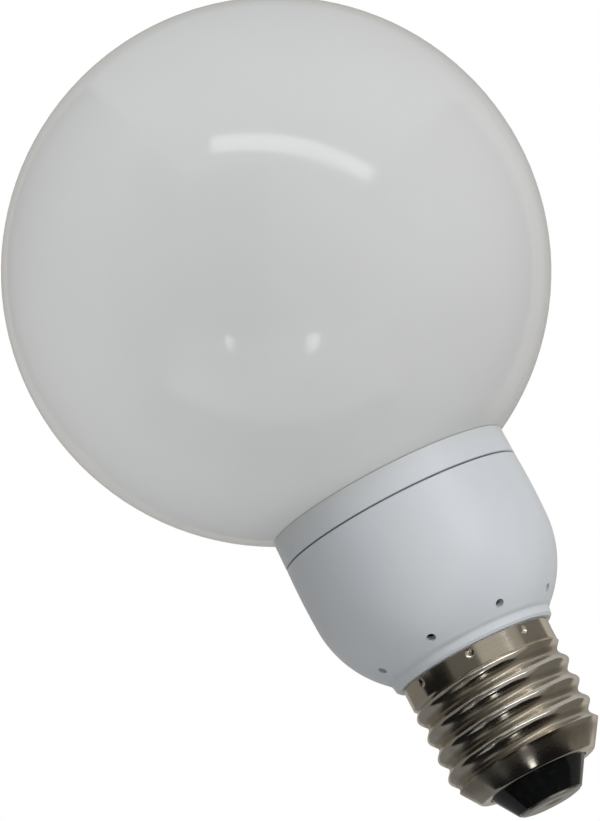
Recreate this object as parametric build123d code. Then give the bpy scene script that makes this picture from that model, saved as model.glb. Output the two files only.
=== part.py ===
from build123d import *
import os

# Globe compact fluorescent lamp with an E27 screw cap, in millimetres.
# Z runs up the lamp's axis, from the face of the centre contact to the top of the globe.

# Globe: a blown ball whose neck goes down into the collar.
globe_r = 44.0
globe_z = 96.5
globe_wall = 1.1
neck_r = 18.1
neck_end_z = 54.0
neck_fillet = 1.5

# Collar: the cover under the globe, with the plate that holds the tube legs.
collar_top_r = 20.3
collar_top_z = 57.35
collar_bottom_z = 52.75
seat_drop = 0.8
groove_in_r = 16.4
groove_out_r = 18.65
plate_z = 53.4
plate_thick = 1.5
cement_top_z = 55.6
skirt_end_z = 49.4
skirt_wall = 1.1
hook_z = 50.1
hook_depth = 0.4
hook_count = 4
hook_arc = 24.0

# Housing: a moulded bowl under the seam, down to the lip over the cap.
seam_r = 20.42
housing_top_z = 52.5
bowl_r = 18.4
bowl_centre_r = 2.1
bowl_centre_z = 42.5
bowl_start_deg = 2.3
bowl_end_deg = 46.5
wall = 1.3
inner_r = bowl_centre_r + bowl_r - wall
lip_r = 14.05
lip_top_z = 28.4
lip_bottom_z = 26.8
throat_r = 12.45
throat_bore_r = 11.3
throat_end_z = 23.4
vent_r = 0.75
vent_count = 8
vent_deg = 41.3
rib_reach_r = 17.4
rib_thick = 1.2
rib_drop = 5.5

# Screw cap: E27 sheet shell, knuckle thread of 7 turns to the inch.
thread_pitch = 3.629
crest_r = 13.05
root_r = 12.0
thread_low_z = 4.0
thread_high_z = 22.8
thread_start_deg = 272.0
sheet = 0.35
skirt_r = 12.8
skirt_top_z = 26.6
skirt_low_z = 22.3
rim_top_z = 9.35
rim_foot_r = 10.05
rim_foot_z = 4.75
rim_curl = 0.9
rim_mouth_r = 8.5
dimple_count = 8
dimple_start_deg = 15.0
dimple_z = 25.6
dimple_r = 1.2
dimple_deep = 0.28

# Insulator and centre contact.
glass_tip_r = 5.6
glass_tip_z = 0.5
glass_fill_z = 7.8
contact_r = 5.15
contact_face_r = 4.3
eyelet_r = 1.5
eyelet_bore_r = 0.8
eyelet_top_z = 8.4

# Discharge tube: three bent tubes side by side, bridged near their feet.
tube_r = 4.2
leg_ring_r = 10.4
leg_end_z = 49.8
bend_z = 105.0
bridge_r = 1.6
bridge_z = 60.0
socket_play = 0.15
socket_wall = 0.7
socket_drop = 2.8

# Ballast board and what stands on it, with its parts below and its pins above.
board_r = 18.6
board_z = 43.4
board_thick = 1.6
lead_r = 0.3
lead_past_board = 1.0
can_r = 5.0
can_low_z = 22.0
can_high_z = 38.0
choke_x = -10.1
choke_core_size = (6.0, 12.8, 11.0)
choke_window = (3.2, 7.4)
choke_leg = 3.4
ring_x = 8.6
ring_y = 8.6
ring_out_r = 4.4
ring_in_r = 2.4
ring_high = 3.4
film_size = (9.0, 4.0, 7.4)
diode_r = 1.35
diode_long = 5.2
resistor_r = 1.15
resistor_long = 6.2
transistor_r = 2.3
transistor_high = 4.8
pin_side = 0.8
pin_high = 3.6
pin_ring_r = 14.6
wire_r = 0.45
fuse_r = 1.6
fuse_low_z = 10.5
fuse_high_z = 18.0

# Lead holes in the board, by the piece whose leads go through them.
pads = {
    "smoothing_capacitor": [(-2.5, 0.0), (2.5, 0.0)],
    "choke_winding": [(choke_x - 4.0, 0.0), (choke_x + 4.0, 0.0)],
    "start_capacitor": [(-6.5, 13.2), (0.5, 13.2)],
    "coupling_capacitor": [(-6.5, -13.2), (0.5, -13.2)],
    "drive_winding": [(ring_x - 1.6, ring_y), (ring_x + 1.6, ring_y)],
    "live_lead": [(7.5, 0.0)],
    "neutral_lead": [(0.0, 10.2)],
}
diode_places = [(-0.6, -7.9), (-0.6, -4.6), (-0.6, 4.6), (-0.6, 7.9)]
resistor_places = [(6.3, -12.6, 0.0), (16.2, 2.6, 90.0)]
transistor_places = [(12.3, -1.4), (10.6, -7.2)]
pin_angles = [-66.0, -54.0, -6.0, 6.0]
low = (Align.CENTER, Align.CENTER, Align.MIN)


def turned(*outline):
    """Turn a closed half section, given as lines and arcs in X and Z, about the axis."""
    return revolve(Plane.XZ * make_face(list(outline)), Axis.Z)


def around(count, start=0.0):
    """Even places around the axis."""
    return [Rot(0, 0, start + 360.0 / count * i) for i in range(count)]


def globe_section(inset, end_z):
    """Half section of the ball and neck above end_z, drawn inset from the outer surface."""
    ball = Pos(0, globe_z) * Circle(globe_r - inset)
    above = Pos(0, end_z) * Rectangle(globe_r, 2 * globe_r, align=(Align.MIN, Align.MIN))
    neck = Pos(0, end_z) * Rectangle(neck_r - inset, globe_z - end_z, align=(Align.MIN, Align.MIN))
    section = (ball & above) + neck
    root = section.vertices().group_by(Axis.X)[-1].sort_by(Axis.Y)[-1]
    return fillet(root, neck_fillet + inset)


def globe():
    """Blown glass: one even wall, and a fire-polished end to the neck."""
    section = globe_section(0, neck_end_z) - globe_section(globe_wall, neck_end_z - 1)
    end = section.vertices().group_by(Axis.Y)[0]
    return revolve(Plane.XZ * fillet(end, globe_wall * 0.4), Axis.Z)


def neck_cement():
    """Cement in the collar's groove, round the globe's neck."""
    ring = Cylinder(groove_out_r, cement_top_z - plate_z, align=low)
    ring -= Cylinder(groove_in_r, cement_top_z - plate_z, align=low)
    return Pos(0, 0, plate_z) * ring - globe()


def leg_places():
    """The six tube feet, on a ring around the axis."""
    return [place * Pos(leg_ring_r, 0, 0) for place in around(6)]


def collar():
    """Moulded cover: outer band, groove for the globe, tube plate, skirt with hooks and feet."""
    seat = RadiusArc((groove_out_r, collar_top_z - seat_drop), (collar_top_r, collar_top_z), globe_r)
    under = plate_z - plate_thick
    skirt_out = inner_r
    outline = Polyline(
        (collar_top_r, collar_top_z),
        (seam_r, collar_bottom_z + 0.15),
        (seam_r - 0.15, collar_bottom_z),
        (skirt_out, collar_bottom_z),
        (skirt_out, skirt_end_z),
        (skirt_out - skirt_wall, skirt_end_z),
        (skirt_out - skirt_wall, under),
        (0, under),
        (0, plate_z),
        (groove_in_r - 1.1, plate_z),
        (groove_in_r - 1.1, cement_top_z),
        (groove_in_r, cement_top_z),
        (groove_in_r, plate_z),
        (groove_out_r, plate_z),
        (groove_out_r, collar_top_z - seat_drop),
    )
    body = turned(seat, outline)
    for place in leg_places():
        foot = Cylinder(tube_r + socket_play + socket_wall, socket_drop, align=low)
        body += place * Pos(0, 0, under - socket_drop) * foot
    for place in leg_places():
        hole = Cylinder(tube_r + socket_play, 2 * socket_drop + plate_thick, align=low)
        body -= place * Pos(0, 0, under - 1.5 * socket_drop) * hole
    body += collar_hooks(skirt_out)
    return body


def collar_hooks(skirt_out):
    """Snap hooks on the skirt, and below each a foot that presses on the board."""
    hook = Polyline(
        (skirt_out - 0.2, hook_z + 0.7),
        (skirt_out + hook_depth, hook_z),
        (skirt_out - 0.2, hook_z - 0.7),
        close=True,
    )
    foot = Polyline(
        (skirt_out - skirt_wall + 0.1, skirt_end_z + 0.5),
        (skirt_out - 0.35, skirt_end_z + 0.5),
        (skirt_out - 0.55, board_z + board_thick),
        (skirt_out - skirt_wall + 0.1, board_z + board_thick),
        close=True,
    )
    pieces = []
    for outline in (hook, foot):
        wedge = revolve(Plane.XZ * make_face(outline), Axis.Z, hook_arc)
        pieces += [place * wedge for place in around(hook_count, 45 - hook_arc / 2)]
    return pieces


def housing():
    """Moulded bowl: crowned top, round shoulder with vents, lip, and the neck inside the cap."""
    sweep_deg = bowl_start_deg - bowl_end_deg
    bowl = CenterArc((bowl_centre_r, bowl_centre_z), bowl_r, -bowl_start_deg, sweep_deg)
    crown = TangentArc(bowl @ 0, (seam_r, housing_top_z), tangent=(bowl % 0) * -1)
    inside = CenterArc((bowl_centre_r, bowl_centre_z), bowl_r - wall, 0, -bowl_end_deg + 4)
    outline = Polyline(
        bowl @ 1,
        (lip_r, lip_top_z),
        (lip_r - 0.2, lip_bottom_z + 0.4),
        (lip_r - 0.6, lip_bottom_z),
        (throat_r, lip_bottom_z),
        (throat_r, throat_end_z),
        (throat_bore_r, throat_end_z),
        (throat_bore_r, lip_top_z),
        inside @ 1,
    )
    inner_wall = Line(inside @ 0, (inner_r, housing_top_z))
    top = Line(inner_wall @ 1, (seam_r, housing_top_z))
    body = turned(crown, bowl, outline, inside, inner_wall, top)
    body -= snap_groove()
    body -= vents()
    return body + board_ribs()


def snap_groove():
    """Undercut inside the top wall, that the collar's hooks spring into."""
    outline = Polyline(
        (inner_r - 0.1, hook_z + 0.8),
        (inner_r + hook_depth + 0.1, hook_z),
        (inner_r - 0.1, hook_z - 0.8),
        close=True,
    )
    return turned(outline)


def vents():
    """Round air holes, drilled square to the bowl."""
    aim = Pos(bowl_centre_r, 0, bowl_centre_z) * Rot(0, 90 + vent_deg, 0)
    drill = aim * Pos(0, 0, bowl_r - 2 * wall) * Cylinder(vent_r, 4 * wall, align=low)
    return [place * drill for place in around(vent_count)]


def board_ribs():
    """Four short ribs inside the wall, that the board rests on, each under a foot of the collar."""
    reach = inner_r + 0.15 - rib_reach_r
    rib = Box(reach, rib_thick, rib_drop, align=(Align.MIN, Align.CENTER, Align.MAX))
    rib = chamfer(rib.edges().filter_by(Axis.Y).group_by(Axis.Z)[0].sort_by(Axis.X)[0], 1.2)
    return [place * Pos(rib_reach_r, 0, board_z) * rib for place in around(hook_count, 45)]


def thread_form():
    """A round bar carried along a fine helix: its side is the rolled knuckle thread."""
    throw = (crest_r - root_r) / 2
    start = Rot(0, 0, thread_start_deg) * Pos(0, 0, thread_low_z)
    path = start * Helix(thread_pitch, thread_high_z - thread_low_z, throw)
    section = start * Pos(throw, 0, 0) * Circle((crest_r + root_r) / 2)
    return sweep(section, path, normal=(0, 0, 1))


def cap_inside(inset):
    """Straight side, tapered end and curled foot of the cap, turned solid and drawn inset."""
    side_r = crest_r + 0.05
    outline = Polyline(
        (-rim_foot_r, rim_foot_z),
        (rim_foot_r, rim_foot_z),
        (side_r, rim_top_z),
        (side_r, thread_high_z),
        (-side_r, thread_high_z),
        (-side_r, rim_top_z),
        close=True,
    )
    section = make_face(outline)
    section = fillet(section.vertices().group_by(Axis.Y)[0], rim_curl)
    if inset:
        section = offset(section, -inset)
    half = Rectangle(2 * side_r, 4 * thread_high_z, align=(Align.MIN, Align.CENTER))
    return revolve(Plane.XZ * (section & half), Axis.Z)


def cap_shell():
    """Rolled sheet shell: thread, plain skirt over the housing's neck, and curled-in rim."""
    body = thread_form() & cap_inside(0)
    run_out = Polyline(
        (root_r - 0.6, skirt_low_z - 0.9),
        (skirt_r, skirt_low_z + 0.9),
        (skirt_r, skirt_top_z),
        (root_r - 0.6, skirt_top_z),
        close=True,
    )
    body += turned(run_out)
    bore_r = root_r - sheet
    bore = Pos(0, 0, rim_top_z) * Cylinder(bore_r, thread_high_z, align=low)
    rim_bore = cap_inside(sheet) & Cylinder(bore_r, 4 * rim_top_z)
    socket = Pos(0, 0, throat_end_z - 0.2) * Cylinder(throat_r, thread_high_z, align=low)
    mouth = Cylinder(rim_mouth_r, 4 * rim_top_z)
    body = body - bore - rim_bore - socket - mouth
    return body - dimples()


def dimples():
    """Punch marks that stake the skirt to the housing's neck."""
    mark = Pos(skirt_r + dimple_r - dimple_deep, 0, dimple_z) * Sphere(dimple_r)
    return [place * mark for place in around(dimple_count, dimple_start_deg)]


def cap_insulator():
    """Black glass poured in the rim: a plug inside the shell and a cone outside it."""
    plug = cap_inside(sheet) & Cylinder(root_r - sheet, 2 * glass_fill_z)
    floor_z = rim_foot_z + sheet
    cone = Polyline(
        (0, glass_tip_z),
        (glass_tip_r, glass_tip_z),
        (rim_mouth_r, floor_z),
        (rim_mouth_r, floor_z + 1),
        (0, floor_z + 1),
        close=True,
    )
    body = plug + turned(cone) - cap_shell()
    return body - Cylinder(eyelet_r, 4 * glass_fill_z)


def centre_contact():
    """Pressed disc with a blind eyelet up through the glass."""
    disc = Cylinder(contact_r, glass_tip_z, align=low)
    edge = disc.edges().group_by(Axis.Z)[0]
    disc = chamfer(edge, glass_tip_z * 0.45, contact_r - contact_face_r)
    eyelet = Cylinder(eyelet_r, eyelet_top_z, align=low)
    bore = Pos(0, 0, glass_tip_z) * Cylinder(eyelet_bore_r, eyelet_top_z, align=low)
    return disc + eyelet - bore


def contact_solder():
    """Solder in the eyelet, up to the end of the live lead."""
    return Pos(0, 0, glass_tip_z) * Cylinder(eyelet_bore_r, 2.0, align=low)


def discharge_tube():
    """Three bent tubes on a ring of six feet, bridged so that they make one path."""
    half = leg_ring_r / 2
    left = Line((-half, 0, leg_end_z), (-half, 0, bend_z))
    bend = ThreePointArc((-half, 0, bend_z), (0, 0, bend_z + half), (half, 0, bend_z))
    right = Line((half, 0, bend_z), (half, 0, leg_end_z))
    section = Pos(-half, 0, leg_end_z) * Circle(tube_r)
    arch = sweep(section, Curve() + [left, bend, right])
    out = leg_ring_r * 0.75**0.5
    tube = [place * Pos(0, out, 0) * arch for place in around(3, -60)]
    body = tube[0] + tube[1:]
    bridge = Rot(0, 90, 0) * Cylinder(bridge_r, leg_ring_r)
    for place in (Rot(0, 0, 0), Rot(0, 0, 120)):
        body += place * Pos(0, out, bridge_z) * bridge
    return body


def tube_cement():
    """Cement poured on the plate, round the six feet."""
    pool = Cylinder(groove_in_r - 1.1, 1.0, align=low)
    for place in leg_places():
        pool -= place * Cylinder(tube_r, 1.0, align=low)
    return Pos(0, 0, plate_z) * pool


def through_leads(name, from_z, radius=lead_r):
    """Straight leads at a piece's pads, from from_z up through the board."""
    long = board_z + board_thick + lead_past_board - from_z
    return [Pos(x, y, from_z) * Cylinder(radius, long, align=low) for x, y in pads[name]]


def circuit_board():
    """Round board with a hole for each lead."""
    disc = Pos(0, 0, board_z) * Cylinder(board_r, board_thick, align=low)
    spots = [Pos(x, y) for name in pads for x, y in pads[name]]
    for x, y in diode_places:
        spots += [Pos(x + side * (diode_long / 2 + 1.2), y) for side in (-1, 1)]
    for x, y, turn in resistor_places:
        spots += [Pos(x, y) * Rot(0, 0, turn) * Pos(side * (resistor_long / 2 + 1.2), 0) for side in (-1, 1)]
    for x, y in transistor_places:
        spots += [Pos(x, y + step * 1.27) for step in (-1, 0, 1)]
    for spot in spots:
        disc -= spot * Pos(0, 0, board_z) * Cylinder(lead_r, board_thick, align=low)
    for angle in pin_angles:
        place = Rot(0, 0, angle) * Pos(pin_ring_r, 0, board_z)
        disc -= place * Box(pin_side, pin_side, board_thick, align=low)
    return disc


def smoothing_capacitor():
    """Electrolytic can with a rolled groove near its sealed end, and two leads."""
    can = Pos(0, 0, can_low_z) * Cylinder(can_r, can_high_z - can_low_z, align=low)
    can = chamfer(can.edges().filter_by(GeomType.CIRCLE), 0.5)
    can -= Pos(0, 0, can_high_z - 2.2) * Torus(can_r + 0.25, 0.7)
    return can + through_leads("smoothing_capacitor", can_high_z - 1)


def choke_core():
    """Two ground E halves closed on each other: a block with two windows."""
    deep, wide, high = choke_core_size
    window_wide, window_high = choke_window
    block = Box(deep, wide, high)
    offset = (choke_leg + window_wide) / 2
    for side in (-1, 1):
        block -= Pos(0, side * offset, 0) * Box(deep, window_wide, window_high)
    return Pos(choke_x, 0, board_z - high / 2) * block


def choke_bobbin():
    """Moulded bobbin on the middle leg: a square tube with a flange at each end."""
    deep, wide, high = choke_core_size
    window_high = choke_window[1]
    body = Box(deep + 1.2, choke_leg + 1.2, window_high)
    for side in (-1, 1):
        flange = Box(9.0, choke_leg + 2 * choke_window[0] - 0.4, 0.6)
        body += Pos(0, 0, side * (window_high - 0.6) / 2) * flange
    body -= Box(deep, choke_leg, high)
    for side in (-1, 1):
        body -= Pos(side * 4.0, 0, window_high / 2) * Cylinder(lead_r, 3)
    return Pos(choke_x, 0, board_z - high / 2) * body


def choke_winding():
    """Wire wound between the flanges, with its two ends up to the board."""
    deep, wide, high = choke_core_size
    window_high = choke_window[1]
    coil = Box(8.6, choke_leg + 2 * choke_window[0] - 0.8, window_high - 1.2)
    coil = fillet(coil.edges().filter_by(Axis.Z), 1.5)
    coil -= Box(deep + 1.2, choke_leg + 1.2, high)
    coil = Pos(choke_x, 0, board_z - high / 2) * coil
    return coil + through_leads("choke_winding", board_z - high / 2 + window_high / 2 - 1.2)


def drive_core():
    """Small ferrite ring."""
    ring = Cylinder(ring_out_r, ring_high) - Cylinder(ring_in_r, ring_high)
    ring = chamfer(ring.edges().filter_by(GeomType.CIRCLE), 0.35)
    return Pos(ring_x, ring_y, board_z - 0.5 - ring_high / 2) * ring


def drive_winding():
    """Three bands of wire round the ring, and two leads from its inner side."""
    outline = Pos((ring_out_r + ring_in_r) / 2, 0) * Rectangle(ring_out_r - ring_in_r + 1, ring_high + 1)
    band = revolve(Plane.XZ * outline, Axis.Z, 40)
    middle = Pos(ring_x, ring_y, board_z - 0.5 - ring_high / 2)
    bands = [middle * place * band for place in around(3, -20)]
    coil = bands[0] + bands[1:] - drive_core()
    return coil + through_leads("drive_winding", board_z - 0.5 - ring_high)


def film_capacitor(name):
    """Dipped film capacitor: a rounded block on two leads."""
    wide, deep, high = film_size
    block = Box(wide, deep, high, align=(Align.CENTER, Align.CENTER, Align.MAX))
    block = chamfer(block.edges(), 0.8)
    (x0, y), (x1, _) = pads[name]
    return Pos((x0 + x1) / 2, y, board_z - 0.4) * block + through_leads(name, board_z - 1.6)


def axial_part(radius, long):
    """Round body lying under the board, with its two leads turned up into it."""
    body = Rot(0, 90, 0) * Cylinder(radius, long)
    reach = long / 2 + 1.2
    rise = radius + 0.2 + board_thick + lead_past_board
    body += Rot(0, 90, 0) * Cylinder(lead_r, 2 * reach)
    body += [Pos(side * reach, 0, 0) * Cylinder(lead_r, rise, align=low) for side in (-1, 1)]
    return Pos(0, 0, board_z - radius - 0.2) * body


def transistor(x, y):
    """Moulded half-round body on three legs."""
    outline = Circle(transistor_r) & Pos(0.6, 0) * Rectangle(2 * transistor_r, 2 * transistor_r)
    body = Pos(x, y, board_z - 1.7 - transistor_high) * extrude(outline, transistor_high)
    long = board_thick + lead_past_board + 2.2
    legs = [Pos(x, y + step * 1.27, board_z - 2.2) * Cylinder(lead_r, long, align=low) for step in (-1, 0, 1)]
    return body + legs


def wrap_pins():
    """Square pins in the board for the tube's leads."""
    pin = Box(pin_side, pin_side, board_thick + pin_high, align=low)
    tipped = chamfer(pin.edges().filter_by(Axis.X).group_by(Axis.Z)[-1], 0.2)
    pins = [Rot(0, 0, angle) * Pos(pin_ring_r, 0, board_z) * tipped for angle in pin_angles]
    return Compound(children=pins)


def filament_leads():
    """Two wires from each end of the discharge path, each wrapped round its pin."""
    leads = []
    wrap_z = board_z + board_thick + 1.2
    for angle in pin_angles:
        leg_angle = -60.0 if angle < -30 else 0.0
        side = 1 if angle > leg_angle else -1
        start = (Rot(0, 0, leg_angle) * Pos(leg_ring_r, side * 1.2, leg_end_z)).position
        pin = (Rot(0, 0, angle) * Pos(pin_ring_r, 0, wrap_z + 1.0)).position
        edge = (Rot(0, 0, angle) * Pos(pin_ring_r - 0.85, 0, wrap_z + 1.0)).position
        path = FilletPolyline(start, (start.X, start.Y, pin.Z), edge, radius=0.5)
        section = Plane(start, z_dir=(0, 0, -1)) * Circle(0.2)
        coil = Cylinder(0.95, 1.6) - Box(pin_side, pin_side, 2)
        turns = Rot(0, 0, angle) * Pos(pin_ring_r, 0, wrap_z + 0.6) * coil
        leads.append(sweep(section, path) + turns)
    return Compound(children=leads)


def lead_wire(points, bend):
    """Round wire along straight runs with rounded bends."""
    path = FilletPolyline(*points, radius=bend)
    section = Plane(points[0], z_dir=path % 0) * Circle(wire_r)
    return sweep(section, path)


def fuse_resistor():
    """Wire-ended fuse in its sleeve, in line between the eyelet and the live lead."""
    body = Pos(0, 0, fuse_low_z) * Cylinder(fuse_r, fuse_high_z - fuse_low_z, align=low)
    body = chamfer(body.edges().filter_by(GeomType.CIRCLE), 0.4)
    tail = Pos(0, 0, glass_tip_z + 2.0) * Cylinder(wire_r, fuse_low_z - glass_tip_z - 2.0, align=low)
    return body + tail


def live_lead():
    """From the fuse, past the capacitor, up to the board."""
    x, y = pads["live_lead"][0]
    wire = lead_wire([(0, 0, fuse_high_z), (0, 0, 19.4), (x, y, 21.4), (x, y, board_z - 0.5)], 1.0)
    return wire + through_leads("live_lead", board_z - 0.5)


def neutral_lead():
    """From the board down the throat, out under the neck to the shell's wall."""
    x, y = pads["neutral_lead"][0]
    end_r = root_r - sheet - 0.4
    wire = lead_wire([(x, y, board_z - 0.5), (x, y, 20.5), (x, end_r, 20.5)], 0.6)
    return wire + through_leads("neutral_lead", board_z - 0.5)


def shell_solder():
    """Solder that joins the neutral lead to the inside of the screw shell."""
    bead = Pos(0, root_r - sheet, 20.5) * Sphere(1.3)
    return bead & Cylinder(root_r - sheet, 60) - neutral_lead()


def write_parts():
    pieces = {
        "globe": globe(),
        "neck_cement": neck_cement(),
        "collar": collar(),
        "housing": housing(),
        "cap_shell": cap_shell(),
        "cap_insulator": cap_insulator(),
        "centre_contact": centre_contact(),
        "contact_solder": contact_solder(),
        "shell_solder": shell_solder(),
        "discharge_tube": discharge_tube(),
        "tube_cement": tube_cement(),
        "circuit_board": circuit_board(),
        "smoothing_capacitor": smoothing_capacitor(),
        "choke_core": choke_core(),
        "choke_bobbin": choke_bobbin(),
        "choke_winding": choke_winding(),
        "drive_core": drive_core(),
        "drive_winding": drive_winding(),
        "start_capacitor": film_capacitor("start_capacitor"),
        "coupling_capacitor": film_capacitor("coupling_capacitor"),
        "wrap_pins": wrap_pins(),
        "filament_leads": filament_leads(),
        "fuse_resistor": fuse_resistor(),
        "live_lead": live_lead(),
        "neutral_lead": neutral_lead(),
    }
    for i, (x, y) in enumerate(diode_places, 1):
        pieces[f"diode_{i}"] = Pos(x, y, 0) * axial_part(diode_r, diode_long)
    for i, (x, y, turn) in enumerate(resistor_places, 1):
        pieces[f"resistor_{i}"] = Pos(x, y, 0) * Rot(0, 0, turn) * axial_part(resistor_r, resistor_long)
    for i, (x, y) in enumerate(transistor_places, 1):
        pieces[f"transistor_{i}"] = transistor(x, y)
    os.makedirs("parts", exist_ok=True)
    for name, piece in pieces.items():
        export_step(piece, f"parts/{name}.step")


write_parts()
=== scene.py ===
import math
import bmesh
import bpy
from mathutils import Matrix, Vector


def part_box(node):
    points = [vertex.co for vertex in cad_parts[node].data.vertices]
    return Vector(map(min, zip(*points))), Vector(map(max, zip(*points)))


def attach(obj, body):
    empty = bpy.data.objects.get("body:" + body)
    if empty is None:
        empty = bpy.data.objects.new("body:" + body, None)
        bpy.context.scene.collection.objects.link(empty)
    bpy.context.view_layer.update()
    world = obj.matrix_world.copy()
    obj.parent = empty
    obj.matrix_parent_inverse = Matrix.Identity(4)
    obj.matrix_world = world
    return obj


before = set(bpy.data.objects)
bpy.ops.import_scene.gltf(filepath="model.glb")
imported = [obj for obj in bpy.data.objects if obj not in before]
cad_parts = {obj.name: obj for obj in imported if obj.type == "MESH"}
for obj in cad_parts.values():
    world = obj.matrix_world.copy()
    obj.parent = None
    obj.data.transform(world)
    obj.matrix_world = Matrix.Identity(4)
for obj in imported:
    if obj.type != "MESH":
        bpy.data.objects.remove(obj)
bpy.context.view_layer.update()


# The view. The lamp keeps its own frame, cap down and globe up, and the camera is rolled until
# it leans as it does in the picture: seen from a little below, with the globe at the upper left.
IMAGE_WIDTH, IMAGE_HEIGHT = 600, 821
GLOBE_PIXEL = Vector((276.1, 271.8))
GLOBE_RADIUS_PIXELS = 275.2
LEAN = math.radians(27.4)
RISE = math.radians(9.3)
AZIMUTH = math.radians(-72.0)
DISTANCE = 2.2
SENSOR = 36.0

globe_low, globe_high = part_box("globe")
globe_radius = (globe_high.x - globe_low.x) / 2
globe_centre = Vector((0, 0, globe_high.z - globe_radius))
level_ahead = Vector((-math.cos(AZIMUTH), -math.sin(AZIMUTH), 0))
ahead = level_ahead * math.cos(RISE) + Vector((0, 0, math.sin(RISE)))
level = Vector((-math.sin(AZIMUTH), math.cos(AZIMUTH), 0))
over = level.cross(ahead)
right = level * math.cos(LEAN) - over * math.sin(LEAN)
up = over * math.cos(LEAN) + level * math.sin(LEAN)
pixel = globe_radius / GLOBE_RADIUS_PIXELS
aim = globe_centre + right * (IMAGE_WIDTH / 2 - GLOBE_PIXEL.x) * pixel
aim -= up * (IMAGE_HEIGHT / 2 - GLOBE_PIXEL.y) * pixel
camera = bpy.data.objects.new("camera", bpy.data.cameras.new("camera"))
bpy.context.scene.collection.objects.link(camera)
camera.data.sensor_width = SENSOR
camera.data.lens = DISTANCE / pixel * SENSOR / IMAGE_HEIGHT
camera_turn = Matrix((right, up, -ahead)).transposed()
camera.matrix_world = Matrix.Translation(aim - ahead * DISTANCE) @ camera_turn.to_4x4()
bpy.context.scene.camera = camera
bpy.context.scene.view_settings.view_transform = "Standard"


# The studio. A pale floor far enough below the lamp to stay under the camera, an even white
# surround, soft lamps on the base, softer ones on the globe alone, for the light that real opal
# glass carries round inside itself, and cards that only gloss sees.
class Term:
    """An output of a node. Signs between terms and numbers add the Math nodes they stand for."""

    def __init__(self, nodes, socket):
        self.nodes = nodes
        self.socket = socket

    def __add__(self, other):
        return self.nodes.maths("ADD", self, other)

    def __sub__(self, other):
        return self.nodes.maths("SUBTRACT", self, other)

    def __rsub__(self, other):
        return self.nodes.maths("SUBTRACT", other, self)

    def __mul__(self, other):
        return self.nodes.maths("MULTIPLY", self, other)

    __radd__ = __add__
    __rmul__ = __mul__


class Nodes:
    """The nodes of the surround or of one material."""

    def __init__(self, tree):
        self.tree = tree

    def node(self, kind, settings, sockets, output=0):
        """Add a node: its settings first, then the value or the link of each socket."""
        made = self.tree.nodes.new("ShaderNode" + kind)
        for setting, value in settings.items():
            setattr(made, setting, value)
        for socket, value in sockets.items():
            self.feed(made.inputs[socket], value)
        return Term(self, made.outputs[output])

    def feed(self, socket, value):
        if isinstance(value, Term):
            self.tree.links.new(value.socket, socket)
        elif isinstance(value, tuple) and len(value) < len(socket.default_value):
            socket.default_value = (*value, 1)
        else:
            socket.default_value = value

    def maths(self, operation, *terms):
        return self.node("Math", {"operation": operation}, dict(enumerate(terms)))


FLOOR_Z = -0.34
FLOOR_RADIUS = 4.0
FLOOR_SIDES = 64
FLOOR_COLOUR = (0.8, 0.8, 0.8)
FLOOR_ROUGHNESS = 0.9
FLOOR_LIFT = 0.25
SURROUND_LEVEL = 0.42
BACKGROUND_LEVEL = 1.0

floor_mesh = bpy.data.meshes.new("floor")
shape = bmesh.new()
floor_place = Matrix.Translation((0, 0, FLOOR_Z))
bmesh.ops.create_circle(
    shape, cap_ends=True, radius=FLOOR_RADIUS, segments=FLOOR_SIDES, matrix=floor_place
)
shape.to_mesh(floor_mesh)
shape.free()
floor = bpy.data.objects.new("floor", floor_mesh)
bpy.context.scene.collection.objects.link(floor)
floor.visible_glossy = False
floor_paint = bpy.data.materials.new("floor_paint")
floor_paint.use_nodes = True
floor_nodes = Nodes(floor_paint.node_tree)
floor_shader = floor_paint.node_tree.nodes["Principled BSDF"]
floor_seen = floor_nodes.node("LightPath", {}, {}, "Is Camera Ray")
floor_nodes.feed(floor_shader.inputs["Base Color"], FLOOR_COLOUR)
floor_nodes.feed(floor_shader.inputs["Roughness"], FLOOR_ROUGHNESS)
floor_nodes.feed(floor_shader.inputs["Emission Color"], floor_seen * FLOOR_LIFT)
floor_nodes.feed(floor_shader.inputs["Emission Strength"], 1.0)
floor_mesh.materials.append(floor_paint)

world = bpy.data.worlds.new("studio")
bpy.context.scene.world = world
world.use_nodes = True
surround = Nodes(world.node_tree)
camera_ray, glossy_ray, clear_ray = (
    surround.node("LightPath", {}, {}, ray)
    for ray in ("Is Camera Ray", "Is Glossy Ray", "Is Transmission Ray")
)
shown = surround.maths("MAXIMUM", surround.maths("MAXIMUM", camera_ray, glossy_ray), clear_ray)
background = world.node_tree.nodes["Background"]
surround.feed(background.inputs["Color"], (1, 1, 1))
surround.feed(background.inputs["Strength"], SURROUND_LEVEL + shown * (BACKGROUND_LEVEL - SURROUND_LEVEL))


def studio_place(across, above, toward):
    """A place in metres from the middle of the globe, in the directions of the picture."""
    return globe_centre + right * across + up * above - ahead * toward


def soft_lamp(name, place, along, wide, high, watts, in_gloss):
    """An area lamp that faces the globe, with its long side in the given direction."""
    away = (place - globe_centre).normalized()
    side = (along - away * along.dot(away)).normalized()
    lamp_data = bpy.data.lights.new(name, "AREA")
    lamp_data.shape = "RECTANGLE"
    lamp_data.size = wide
    lamp_data.size_y = high
    lamp_data.energy = watts
    lamp = bpy.data.objects.new(name, lamp_data)
    turn = Matrix((side, away.cross(side), away)).transposed()
    lamp.matrix_world = Matrix.Translation(place) @ turn.to_4x4()
    lamp.visible_glossy = in_gloss
    lamp.visible_camera = False
    bpy.context.scene.collection.objects.link(lamp)
    return lamp


def receivers(name, things):
    """The things that a lamp lights, when it doesn't light everything."""
    group = bpy.data.collections.new(name)
    for thing in things:
        group.objects.link(thing)
    return group


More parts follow.
